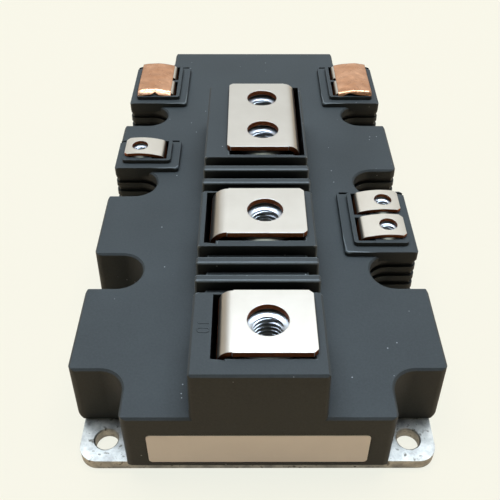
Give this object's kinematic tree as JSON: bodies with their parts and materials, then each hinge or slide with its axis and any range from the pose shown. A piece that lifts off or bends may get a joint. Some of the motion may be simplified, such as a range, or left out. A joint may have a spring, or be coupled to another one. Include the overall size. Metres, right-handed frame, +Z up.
{
  "type": "igbt module",
  "caption": "Half-bridge IGBT power module: flat base plate, black moulded case with a raised spine of screw terminals, side control terminals and two shorting foils.",
  "frame": {"origin": "centre of the underside of the base plate", "axes": "+X across the module to the right, +Y along it away from the end with the label, +Z up from the mounting plane"},
  "size_m": [0.089, 0.172, 0.038],
  "materials": {
    "case_plastic": "fine moulded matt thermoplastic, blue-black",
    "base_plate": "nickel-plated copper, matt and slightly mottled",
    "terminal_plating": "satin silver plating on copper sheet, bare copper at the cut edges",
    "control_terminal_plating": "satin silver plating on copper sheet, bare copper at the cut edges",
    "nut_zinc": "bright zinc plating",
    "copper_foil": "thin crinkled copper foil, warm pink-tan",
    "label_film": "matt printed film, left bare",
    "sealant": "cured silicone adhesive",
    "solder": "dull solder",
    "ceramic_substrate": "copper-clad white ceramic",
    "silicon": "metallised silicon",
    "bond_wire": "bare drawn aluminium",
    "sensor_body": "dark glass-coated chip",
    "gel": "clear soft silicone gel"
  },
  "bodies": {
    "root": {"base_plate": "base_plate", "case_seal": "sealant", "housing": "case_plastic", "front_main_terminal": "terminal_plating", "middle_main_terminal": "terminal_plating", "output_terminal": "terminal_plating", "main_terminal_nuts": "nut_zinc", "sense_terminal": "control_terminal_plating", "sensor_terminal_1": "control_terminal_plating", "sensor_terminal_2": "control_terminal_plating", "gate_terminal_left": "control_terminal_plating", "emitter_terminal_left": "control_terminal_plating", "gate_terminal_right": "control_terminal_plating", "emitter_terminal_right": "control_terminal_plating", "control_terminal_nuts": "nut_zinc", "shorting_foil_left": "copper_foil", "shorting_foil_right": "copper_foil", "name_label": "label_film", "substrate_solder": "solder", "substrate_1": "ceramic_substrate", "substrate_2": "ceramic_substrate", "substrate_3": "ceramic_substrate", "substrate_4": "ceramic_substrate", "transistor_chips_1": "silicon", "transistor_chips_2": "silicon", "transistor_chips_3": "silicon", "transistor_chips_4": "silicon", "diode_chips_1": "silicon", "diode_chips_2": "silicon", "diode_chips_3": "silicon", "diode_chips_4": "silicon", "bond_wires_1": "bond_wire", "bond_wires_2": "bond_wire", "bond_wires_3": "bond_wire", "bond_wires_4": "bond_wire", "temperature_sensor": "sensor_body", "silicone_gel": "gel"}
  },
  "joints": []
}
